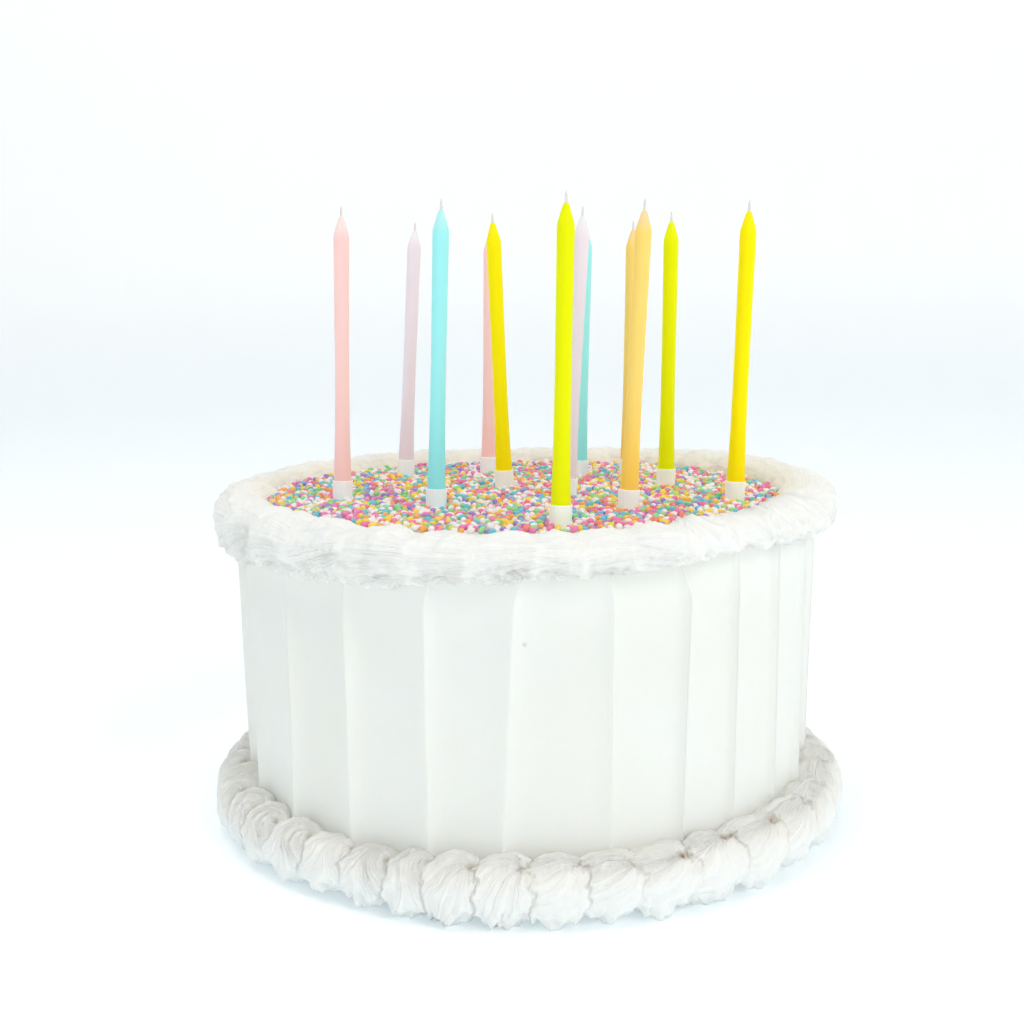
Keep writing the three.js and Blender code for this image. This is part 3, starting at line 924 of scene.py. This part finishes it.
# %% The border round the foot
FOOT_BACK_COUNT, FOOT_SEED = 28, 13
FOOT_BORDER = {
    "Ring radius": 92.5 * MM,
    "Ring height": 8.0 * MM,
    "Out": 8.9 * MM,
    "Up": 9.4 * MM,
    "Lean": 0.45,
    "Melt": 0.34,
    "Back melt": 0.4,
    "Core": 0.7,
    "Side lift": 1.6 * MM,
    "Back lift": 0.0,
    "Right lift": 0.0,
    "Swell scale": 150.0,
    "Swell": 0.14,
    "Hem": 0.36,
    "Hem low": -0.6,
    "Hem high": 0.0,
    "Hem scale": 330.0,
    "Folds": 0.06,
    "Floor": 0.0,
    "Icing": PIPED_ICING,
}
foot_kinds = [
    {**kind, "spread": spread, "stain": stain}
    for kind, spread, stain in zip(FOOT_KINDS, FOOT_SPREADS, FOOT_PIT_SHADES)
]
foot_rope = rope_mesh("foot_rope", FOOT_FRONT, FOOT_BACK_COUNT, FOOT_SEED, foot_kinds)
foot_shells = grow("foot_shells", foot_rope, FOOT_BORDER, pipe)
stands_for(foot_shells, "piped_icing", "foot_border")

# %% [markdown]
# ## Sugar beads
#
# The top is strewn with sugar beads, thickest inside the border and thinning where they rolled up
# against the shells. Placing them by hand would take a day. The tree scatters points over a flat
# disc above the cake, drops each straight down until it meets icing, and sets a bead there, so
# beads lie on the shells' slopes too. The same seed gives the same scatter every time, so the
# tree runs once for each colour and keeps only that colour's share of the beads.

# %% Bead colours and their sugar
def paint(red, green, blue):
    """A screen colour, 0 to 255, as the linear colour that shaders work in."""

    def linear(value):
        value /= 255
        return value / 12.92 if value <= 0.04045 else ((value + 0.055) / 1.055) ** 2.4

    return (linear(red), linear(green), linear(blue), 1)


BEAD_PAINTS = {
    # name: (colour, share of all beads)
    "pink": (paint(248, 130, 186), 0.15),
    "white": (paint(255, 244, 242), 0.27),
    "turquoise": (paint(112, 204, 222), 0.13),
    "green": (paint(158, 224, 150), 0.11),
    "yellow": (paint(255, 222, 72), 0.13),
    "purple": (paint(168, 138, 216), 0.07),
    "coral": (paint(250, 134, 124), 0.06),
    "orange": (paint(255, 180, 84), 0.08),
}
SPECKLE_SCALE = 1800.0
SPECKLE_SHARE = 0.35


def bead_material(name, colour):
    material, graph = new_material(f"{name}_sugar")
    speckle = graph.noise(object_place(graph), SPECKLE_SCALE)
    pale = tuple(0.5 + 0.5 * channel for channel in colour[:3]) + (1,)
    tint = graph.mix(graph.ease(speckle, -0.2, 1.0) * SPECKLE_SHARE, colour, pale)
    inputs = {"Base Color": tint, "Roughness": speckle * 0.1 + 0.42}
    inputs["Normal"] = bump(graph, speckle, distance=0.05 * MM, strength=0.4)
    surface(graph, {**inputs, "Subsurface Weight": 0.15, "Subsurface Scale": 0.5 * MM})
    return material


print(len(BEAD_PAINTS), "colours of sugar")

# %% Points dropped on the icing
DISC_SIDES = 64
DISC_RADIUS = 93 * MM
DISC_HEIGHT = CAKE_TOP + 30 * MM
CROWDED = 1000000.0  # points to a square metre, more than the gap between beads lets in
DROP_LENGTH = 60 * MM


def scatter_disc():
    """A flat disc of one face above the cake, over which the beads are scattered."""
    corners = [2 * math.pi * i / DISC_SIDES for i in range(DISC_SIDES)]
    points = [(DISC_RADIUS * math.cos(a), DISC_RADIUS * math.sin(a), DISC_HEIGHT) for a in corners]
    return mesh_of("bead_disc", points, [tuple(range(DISC_SIDES))])


def landed_points(graph, disc, given):
    """Points scattered over the disc and dropped straight down on the cake and its border."""
    scatter = {"Mesh": disc, "Distance Min": given["Gap"], "Density Max": CROWDED}
    scatter["Seed"] = given["Seed"]
    settings = {"distribute_method": "POISSON"}
    points = graph.add("GeometryNodeDistributePointsOnFaces", settings, scatter)
    beds = graph.add("GeometryNodeJoinGeometry")
    for label in ("Cake", "Shells"):
        bed = graph.add("GeometryNodeObjectInfo", {}, {"Object": given[label]}, "Geometry")
        graph.tree.links.new(bed.socket, beds.socket.node.inputs[0])
    drop = {"Target Geometry": beds, "Ray Direction": (0, 0, -1), "Ray Length": DROP_LENGTH}
    landed = graph.add("GeometryNodeRaycast", {}, drop, "Hit Position")
    return moved(graph, points, position=landed)


DISC = scatter_disc()
print("points fall from a height of", round(DISC_HEIGHT / MM), "mm")

# %% Measures of the scatter
BEDS = {
    "Cake": cake,
    "Shells": top_shells,
    "Gap": 1.8 * MM,
    "Middle x": -0.8 * MM,
    "Full radius": 78.5 * MM,
    "Thin radius": 83.0 * MM,
    "Size": 1.05 * MM,
    "Seed": 4,
}
LOW_GROUND_ENDS = (CAKE_TOP + 0.8 * MM, CAKE_TOP + 3.2 * MM)
SLOPE_SHARE = 0.02  # of the beads that fall on the shells' slopes, how many stay there
BEAD_DRAWS = {
    # name: (least, most, number of its own random stream)
    "kept": (0.0, 1.0, 1),
    "colour": (0.0, 1.0, 2),
    "tilt": (-0.5, 0.5, 3),
    "roll": (-0.5, 0.5, 4),
    "turn": (0.0, 6.28, 5),
    "length": (0.9, 1.5, 6),
    "breadth": (0.75, 1.0, 7),
    "rise": (0.1, 0.9, 8),
}
BEAD_HEIGHT = 0.85
BEAD_BALL = {"Segments": 8, "Rings": 5, "Radius": 1.0}
print("beads land at least", round(BEDS["Gap"] / MM, 1), "mm apart")

# %% The strewing rule
def strew(graph, shape, given):
    """Beads of one colour, dropped on the icing."""
    spots = landed_points(graph, shape, given)
    position = graph.add("GeometryNodeInputPosition")
    x, y, z = (graph.add("ShaderNodeSeparateXYZ", {}, {0: position}, axis) for axis in "XYZ")
    x = x - given["Middle x"]
    away = graph.math("SQRT", x * x + y * y)

    def draw(name):
        low, high, stream = BEAD_DRAWS[name]
        inputs = {"Min": low, "Max": high, "Seed": given["Seed"] + stream}
        return graph.add("FunctionNodeRandomValue", {"data_type": "FLOAT"}, inputs, "Value")

    low_ground = 1 - graph.ease(z, *LOW_GROUND_ENDS)
    thinning = 1 - graph.ease(away, given["Full radius"], given["Thin radius"])
    likely = thinning * (low_ground * (1 - SLOPE_SHARE) + SLOPE_SHARE)
    colour = draw("colour")
    this = graph.math("GREATER_THAN", colour, given["From"])
    this = this * graph.math("LESS_THAN", colour, given["To"])
    this = this * graph.math("LESS_THAN", draw("kept"), likely)
    spun = graph.vector(draw("tilt"), draw("roll"), draw("turn"))
    size = given["Size"]
    scale = graph.vector(size * draw("length"), size * draw("breadth"), size * BEAD_HEIGHT)
    raised = moved(graph, spots, offset=graph.vector(0.0, 0.0, draw("rise") * size))
    beads = graph.add(
        "GeometryNodeInstanceOnPoints",
        {},
        {
            "Points": raised,
            "Selection": this,
            "Instance": graph.add("GeometryNodeMeshUVSphere", {}, BEAD_BALL),
            "Rotation": graph.add("FunctionNodeEulerToRotation", {}, {0: spun}),
            "Scale": scale,
        },
    )
    return finished(graph, beads, given["Sugar"])


print("a bead is kept where its colour's draw and its place allow")

# %% One mesh of beads for each colour
start = 0.0
for bead_name, (bead_paint, bead_share) in BEAD_PAINTS.items():
    sugar = bead_material(bead_name, bead_paint)
    asked = {**BEDS, "From": start, "To": start + bead_share, "Sugar": sugar}
    beads = grow(f"{bead_name}_beads", DISC, asked, strew)
    stands_for(beads, "icing", "cake_body")
    start += bead_share

# %% [markdown]
# ## Candles, wicks and cups
#
# A party candle is drawn wax: a slim stick that flares a little at its foot, with soft shoulders
# under a hollowed point that closes round the wick. It stands in a small ribbed plastic cup that
# is pressed into the cake. All three are turned shapes, so one helper spins a profile of radius
# and height, and lets the radius change round the shape for ribs and for the wick's twist. The
# turned piece is then leaned over as its candle leans.

# %% A helper that turns a profile
def turned(name, profile, sides, wave=lambda angle, height: 0.0, lean=Matrix.Identity(4)):
    """A surface spun from (radius, height) pairs; a radius of 0 at either end closes it."""
    rings = [pair for pair in profile if pair[0] > 0]
    points = []
    for radius, height in rings:
        for side in range(sides):
            angle = 2 * math.pi * side / sides
            reach = radius + wave(angle, height)
            points.append(lean @ Vector((reach * math.cos(angle), reach * math.sin(angle), height)))
    faces = []
    for row in range(len(rings) - 1):
        for side in range(sides):
            after, low, high = (side + 1) % sides, row * sides, (row + 1) * sides
            faces.append((low + side, low + after, high + after, high + side))
    if profile[0][0] == 0:
        points.append(lean @ Vector((0, 0, profile[0][1])))
        faces += [(len(points) - 1, (side + 1) % sides, side) for side in range(sides)]
    if profile[-1][0] == 0:
        points.append(lean @ Vector((0, 0, profile[-1][1])))
        last = (len(rings) - 1) * sides
        faces += [
            (len(points) - 1, last + side, last + (side + 1) % sides) for side in range(sides)
        ]
    return link(bpy.data.objects.new(name, mesh_of(name, points, faces)))


print("a turned shape is closed wherever its profile meets the axis")

# %% [markdown]
# ## Wax, plastic and cotton
#
# Thin wax glows: light enters it all round and comes out coloured, which is why a candle looks
# brighter than paint of the same colour. Subsurface light does most of it, and a little emission
# of the same colour, a painted glow, stands for the light that the bright icing sends up. The cups
# are milky plastic with a breath of the candle's colour painted in, for wax seen through it, and
# they have the same painted glow. The wicks are pale waxed cotton.

# %% Wax
WAXES = {
    # name: (colour, colour at the foot, colour of the point)
    "pink": (paint(255, 212, 208), paint(255, 204, 200), paint(246, 226, 222)),
    "lilac": (paint(238, 226, 234), paint(232, 216, 224), paint(238, 234, 234)),
    "aqua": (paint(164, 240, 242), paint(146, 228, 232), paint(190, 236, 236)),
    "yellow": (paint(255, 236, 0), paint(255, 226, 0), paint(252, 232, 20)),
    "lime": (paint(234, 238, 0), paint(230, 234, 0), paint(236, 238, 6)),
    "peach": (paint(255, 218, 122), paint(255, 204, 84), paint(246, 214, 174)),
}
# painted glow of the wax and the cups
PAINTED_GLOW = 0.1
WAX_FOOT_ENDS = (CAKE_TOP, CAKE_TOP + 40 * MM)
WAX_POINT_BEGINS = (CAKE_TOP + 79 * MM, CAKE_TOP + 85 * MM)
DRAWN_SCALE, DRAWN_GRAIN = 1500.0, (1, 1, 0.02)
WAX_CLOUD_SCALE = 60.0


def wax_material(name, body, foot, point):
    material, graph = new_material(f"{name}_candle_wax")
    place = object_place(graph)
    height = graph.add("ShaderNodeSeparateXYZ", {}, {0: place}, "Z")
    drawn = graph.noise(stretched(graph, place, DRAWN_GRAIN), DRAWN_SCALE)
    clouds = graph.noise(place, WAX_CLOUD_SCALE)
    low = 1 - graph.ease(height, *WAX_FOOT_ENDS)
    colour = graph.mix(low * 0.9 + clouds * 0.08, body, foot)
    colour = graph.mix(graph.ease(height, *WAX_POINT_BEGINS) * 0.8, colour, point)
    normal = bump(graph, drawn + clouds * 2.0, distance=0.05 * MM, strength=0.5)
    wax = {"Base Color": colour, "Roughness": drawn * 0.06 + 0.4, "Normal": normal}
    # Painted light: the wax glows a little of its own colour.
    glow = {"Emission Color": colour, "Emission Strength": PAINTED_GLOW, "Subsurface Weight": 0.3}
    glow["Subsurface Radius"] = (1.5, 1.2, 1.0)
    surface(graph, {**wax, **glow, "Subsurface Scale": MM, "Specular IOR Level": 0.1})
    return material


wax_materials = {name: wax_material(name, *paints) for name, paints in WAXES.items()}
print(len(wax_materials), "waxes")

# %% Cup plastic and wick cotton
MILKY_PLASTIC = (0.95, 0.93, 0.93, 1)
HAZE_SCALE = 700.0
COTTON_GREY, COTTON_WHITE = (0.8, 0.77, 0.72, 1), (0.93, 0.91, 0.87, 1)
FIBRE_SCALE, FIBRE_GRAIN = 4000.0, (1, 1, 0.2)


def cup_material(name, wax_colour):
    material, graph = new_material(f"{name}_cup_plastic")
    haze = graph.noise(object_place(graph), HAZE_SCALE)
    # Painted light: a little of the wax's colour, as if seen through the plastic, and a small
    # painted glow.
    shown = graph.ease(haze, -1.0, 1.0) * 0.1 + 0.05
    milky = graph.mix(shown, MILKY_PLASTIC, wax_colour)
    inputs = {"Base Color": milky, "Emission Color": milky, "Emission Strength": PAINTED_GLOW}
    inputs["Roughness"] = haze * 0.05 + 0.32
    inputs["Normal"] = bump(graph, haze, distance=0.03 * MM, strength=0.3)
    surface(graph, {**inputs, "Subsurface Weight": 0.3, "Subsurface Scale": MM})
    return material


def wick_material():
    material, graph = new_material("waxed_wick")
    fibre = graph.noise(stretched(graph, object_place(graph), FIBRE_GRAIN), FIBRE_SCALE)
    colour = graph.mix(graph.ease(fibre, -0.5, 0.8), COTTON_GREY, COTTON_WHITE)
    normal = bump(graph, fibre, distance=0.05 * MM, strength=0.6)
    surface(graph, {"Base Color": colour, "Roughness": 0.6, "Normal": normal})
    return material


WICK_COTTON = wick_material()
cup_materials = {name: cup_material(name, paints[0]) for name, paints in WAXES.items()}
print(len(cup_materials), "cup plastics and", WICK_COTTON.name)

# %% [markdown]
# ## Twelve candles, each with its own lean
#
# Nobody pushes twelve candles in quite straight, and the small leans are what make them look put
# there by hand. So each candle is a row of measures: its place, its lean, and how deep it sits in
# its cup. The profiles are the same for all. They are lists of a few corners and bends, which are
# quicker to draw and to read than a curve with handles.

# %% Candle places and profiles, in millimetres
CANDLES = {
    # name: (place on the cake's top, how far it leans over LEAN_HEIGHT, how high it sits in its cup)
    "pink_1": ((-57, -14.5), (2.2, 0), 2.1),
    "pink_2": ((-13, 49), (1.9, 0.6), 0),
    "lilac_1": ((-42.5, 43), (5.4, 0.3), 1.1),
    "lilac_2": ((13, -14), (5.3, -0.5), 1.5),
    "aqua_1": ((-26.5, -35.5), (3.3, -0.3), 2.3),
    "aqua_2": ((19, 35), (2.7, 0.5), 0),
    "yellow_1": ((-6.5, 8), (-2.8, 0.2), 1.2),
    "yellow_2": ((63.6, -26), (3.1, -0.3), 1.4),
    "lime_1": ((9.5, -71), (2.1, 0.2), 1.2),
    "lime_2": ((46.3, 7.5), (1.4, 0.2), 0.8),
    "peach_1": ((30, -41.5), (4.6, -0.6), 1.1),
    "peach_2": ((36, 36), (1.9, 0.2), 0),
}
LEAN_HEIGHT = 88
CUP_SUNK = 2.5
CUP_FLOOR = 1.5
CUP_GAP = 0.3
# (radius, height), turned about the candle's own axis
CUP_PROFILE = [(0, 0), (2.6, 0), (2.85, 0.12), (2.91, 0.4), (2.96, 2.5), (3.03, 5.5), (3.13, 8.6)]
CUP_PROFILE += [(3.12, 8.85), (3.05, 9.0), (2.97, 9.0), (2.92, 8.85), (2.9, 8.5), (2.86, 1.9)]
CUP_PROFILE += [(2.8, 1.55), (2.5, 1.5), (0, 1.5)]
WAX_PROFILE = [(0, 0), (2.4, 0), (2.66, 0.1), (2.76, 0.35), (2.74, 3), (2.66, 8), (2.5, 14)]
WAX_PROFILE += [(2.34, 22), (2.26, 32), (2.26, 46), (2.32, 62), (2.38, 74), (2.42, 78)]
WAX_PROFILE += [(2.4, 79.4), (2.3, 80.2), (2.08, 81.1), (1.75, 82.2), (1.4, 83.3), (1.1, 84.3)]
WAX_PROFILE += [(0.86, 85.0), (0.7, 85.4), (0.5, 85.5), (0, 85.5)]
WICK_PROFILE = [(0, 83.5), (0.45, 83.6), (0.45, 85.5), (0.42, 86.2), (0.38, 87), (0.3, 87.8)]
WICK_PROFILE += [(0.22, 88.4), (0.12, 88.8), (0, 88.9)]
print("a candle is", WICK_PROFILE[-1][1], "mm tall with its wick")

# %% Cups, wax and wicks
CANDLE_SEED = 21
WAX_SIDES, CUP_SIDES, WICK_SIDES = 36, 72, 12
WAX_FLATS, FLAT_DEPTH = 9, 0.035 * MM
CUP_RIBS, RIB_HEIGHT, RIBS_END = 18, 0.05 * MM, 8.9 * MM
WICK_STRANDS, STRAND_HEIGHT, TWIST_PER_MM = 3, 0.05 * MM, 1.6


def leaned(at, lean):
    """The matrix that stands a candle at its place on the cake and leans it over."""
    axis = Vector((lean[0], lean[1], LEAN_HEIGHT)).normalized()
    turn = Vector((0, 0, 1)).rotation_difference(axis).to_matrix().to_4x4()
    place = Vector((at[0] * MM, at[1] * MM, CAKE_TOP - CUP_SUNK * MM))
    return Matrix.Translation(place) @ turn


def in_mm(profile, lift=0.0):
    return [(radius * MM, (height + lift) * MM) for radius, height in profile]


def ribs(angle, height):
    """Faint upright ribs on the outside of a cup."""
    return RIB_HEIGHT * math.cos(CUP_RIBS * angle) if 0 < height < RIBS_END else 0.0


def twist(angle, height):
    """Strands of cotton wound round each other."""
    return STRAND_HEIGHT * math.cos(WICK_STRANDS * (angle + height / MM * TWIST_PER_MM))


wander = wanderer(CANDLE_SEED)
for candle_name, (at, lean, raised) in CANDLES.items():
    lift = CUP_FLOOR + CUP_GAP + raised
    stand = leaned(at, lean)
    flats = [FLAT_DEPTH * next(wander) for _ in range(WAX_FLATS)]

    def drawn_flats(angle, height):
        flat = int(angle / (2 * math.pi) * WAX_FLATS) % WAX_FLATS
        return flats[flat] if height > MM else 0.0

    wax = turned(f"wax_{candle_name}", in_mm(WAX_PROFILE, lift), WAX_SIDES, drawn_flats, stand)
    cup = turned(f"plastic_cup_{candle_name}", in_mm(CUP_PROFILE), CUP_SIDES, ribs, stand)
    wick = turned(f"cotton_wick_{candle_name}", in_mm(WICK_PROFILE, lift), WICK_SIDES, twist, stand)
    colour_name = candle_name.split("_")[0]
    wax.data.materials.append(wax_materials[colour_name])
    cup.data.materials.append(cup_materials[colour_name])
    wick.data.materials.append(WICK_COTTON)
    stands_for(wax, f"{colour_name}_wax", f"candle_{candle_name}")
    stands_for(cup, "cup_plastic", f"cup_{candle_name}")
    stands_for(wick, "wick", f"wick_{candle_name}")
print(len(CANDLES), "candles of", triangles(wax.data), "triangles each")

# %% [markdown]
# ## The studio
#
# White food on white is lit with a large soft light from the front and right, a weak one from the
# front, one from above, and whatever the pale room gives back. The room here is a bowl: a flat
# floor that curves up into a wall all round, so that no edge shows from any side. It is staging,
# not part of the cake.

# %% The bowl
BOWL_FLAT, BOWL_BEND, BOWL_TOP = 1.6, 0.9, 3.2  # metres: flat floor, radius of the bend, height
BOWL_STEPS, BOWL_SIDES = 12, 96
ROOM_WHITE = (0.89, 0.9, 0.9, 1)
NEAR_GLOW, FAR_GLOW = (0.1, 0.125, 0.135, 1), (1.0, 1.0, 1.0, 1)
BRIGHT_WAY = (0.65, 0.75)  # x and y of the direction in which the room gets brighter
BRIGHT_REACH = 1.6
FLOOR_GLOW, FLOOR_GLOW_HEIGHT = (0.66, 0.77, 0.83, 1), 0.3
GLOW_STRENGTH = 0.34


def studio_bowl():
    profile = [(0.0, 0.0), (0.4, 0.0), (0.9, 0.0), (BOWL_FLAT, 0.0)]
    for step in range(1, BOWL_STEPS + 1):
        angle = math.pi / 2 * step / BOWL_STEPS
        out, up = BOWL_BEND * math.sin(angle), BOWL_BEND * (1 - math.cos(angle))
        profile.append((BOWL_FLAT + out, up))
    profile.append((BOWL_FLAT + BOWL_BEND, BOWL_TOP))
    bowl = turned("studio_bowl", profile, BOWL_SIDES)
    bowl.data.flip_normals()
    material, graph = new_material("studio_white")
    x, y, z = (graph.add("ShaderNodeSeparateXYZ", {}, {0: object_place(graph)}, a) for a in "XYZ")
    bright = graph.ease(y * BRIGHT_WAY[1] + x * BRIGHT_WAY[0], -BRIGHT_REACH, BRIGHT_REACH)
    glow = graph.mix(bright, NEAR_GLOW, FAR_GLOW)
    glow = graph.mix(graph.ease(z, 0.0, FLOOR_GLOW_HEIGHT), FLOOR_GLOW, glow)
    inputs = {"Base Color": ROOM_WHITE, "Roughness": 0.9}
    surface(graph, {**inputs, "Emission Color": glow, "Emission Strength": GLOW_STRENGTH})
    bowl.data.materials.append(material)


studio_bowl()
print("the bowl is", 2 * (BOWL_FLAT + BOWL_BEND), "m across")

# %% Lights and air
AIM = (0, 0, 0.1)
WARM_WHITE, TOP_WHITE = (1.0, 0.96, 0.925), (0.98, 0.97, 0.96)
LIGHTS = {
    # name: (place in metres, size in metres, power in watts, colour)
    "key": ((0.85, -1.1, 1.15), 0.7, 5.4, WARM_WHITE),
    "front": ((-0.1, -1.7, 0.7), 0.8, 1.3, WARM_WHITE),
    "top": ((-0.3, -0.1, 1.9), 1.4, 14.8, TOP_WHITE),
}
AIR = {"Color": (0.93, 0.97, 1.0, 1), "Strength": 0.12}


def soft_light(name, place, size, power, colour):
    lamp = bpy.data.lights.new(name, "AREA")
    lamp.shape, lamp.size, lamp.energy, lamp.color = "DISK", size, power, colour
    light = link(bpy.data.objects.new(name, lamp))
    light.location = place
    toward = Vector(AIM) - Vector(place)
    light.rotation_euler = toward.to_track_quat("-Z", "Y").to_euler()
    light.visible_camera = False


for light_name, light_traits in LIGHTS.items():
    soft_light(light_name, *light_traits)
world = bpy.data.worlds.new("studio_air")
world.use_nodes = True
for label, value in AIR.items():
    world.node_tree.nodes["Background"].inputs[label].default_value = value
scene.world = world
scene.view_settings.view_transform = "Standard"
print(len(LIGHTS), "lights")

# %% The camera
CAMERA_PLACE = (0, -426.2 * MM, 160.7 * MM)
CAMERA_DOWN, CAMERA_LEFT, CAMERA_ROLL = 8.675, 0.561, 0.665  # degrees
CAMERA_LENS, CAMERA_SENSOR = 46.77, 36


def camera_basis(down, left, roll):
    """The camera's right, up and back directions, from three angles in degrees."""
    down, left, roll = (math.radians(angle) for angle in (down, left, roll))
    ahead = Vector((-math.sin(left), math.cos(left), 0))
    level = Vector((math.cos(left), math.sin(left), 0))
    upright = Vector((0, 0, 1))
    forward = ahead * math.cos(down) - upright * math.sin(down)
    up = upright * math.cos(down) + ahead * math.sin(down)
    right = level * math.cos(roll) - up * math.sin(roll)
    top = up * math.cos(roll) + level * math.sin(roll)
    return right, top, -forward


camera_data = bpy.data.cameras.new("camera")
camera_data.lens, camera_data.sensor_width = CAMERA_LENS, CAMERA_SENSOR
camera = link(bpy.data.objects.new("camera", camera_data))
basis = Matrix(camera_basis(CAMERA_DOWN, CAMERA_LEFT, CAMERA_ROLL)).transposed().to_4x4()
camera.matrix_world = Matrix.Translation(CAMERA_PLACE) @ basis
scene.camera = camera
print("camera", round(CAMERA_LENS), "mm, from", [round(value, 3) for value in camera.location])
